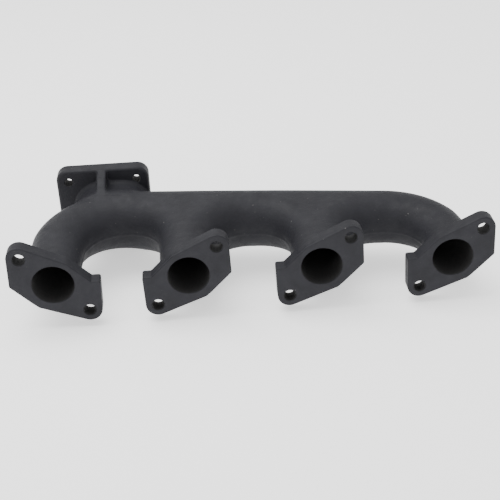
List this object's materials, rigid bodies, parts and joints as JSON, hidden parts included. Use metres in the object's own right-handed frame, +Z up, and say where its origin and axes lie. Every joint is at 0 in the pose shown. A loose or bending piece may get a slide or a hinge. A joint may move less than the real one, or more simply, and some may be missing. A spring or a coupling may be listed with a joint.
{
  "type": "exhaust manifold",
  "caption": "Cast iron exhaust manifold: a row of round ports with slanted two-bolt flanges feeds a round log that leaves through a square bolted outlet plate.",
  "frame": {"origin": "centre of port 1's bore, on the face that meets the engine", "axes": "+X along the row of ports from port 1 to port 4; +Y from the engine toward the outlet; +Z up"},
  "size_m": [0.3498, 0.1225, 0.0724],
  "materials": {
    "cast_paint": "sand-cast iron with a thin satin black coat",
    "machined_face_paint": "faced iron flange with a thin satin black coat"
  },
  "bodies": {
    "root": {"port_flange_1": "machined_face_paint", "port_flange_2": "machined_face_paint", "port_flange_3": "machined_face_paint", "port_flange_4": "machined_face_paint", "runner_1": "cast_paint", "runner_2": "cast_paint", "runner_3": "cast_paint", "runner_4": "cast_paint", "elbow_1": "cast_paint", "elbow_4": "cast_paint", "crotch_web_2_left": "cast_paint", "crotch_web_2_right": "cast_paint", "crotch_web_3_left": "cast_paint", "crotch_web_3_right": "cast_paint", "log_left": "cast_paint", "log_right": "cast_paint", "outlet_neck": "cast_paint", "outlet_shoulder": "cast_paint", "outlet_rib": "cast_paint", "outlet_flange": "machined_face_paint"}
  },
  "joints": []
}
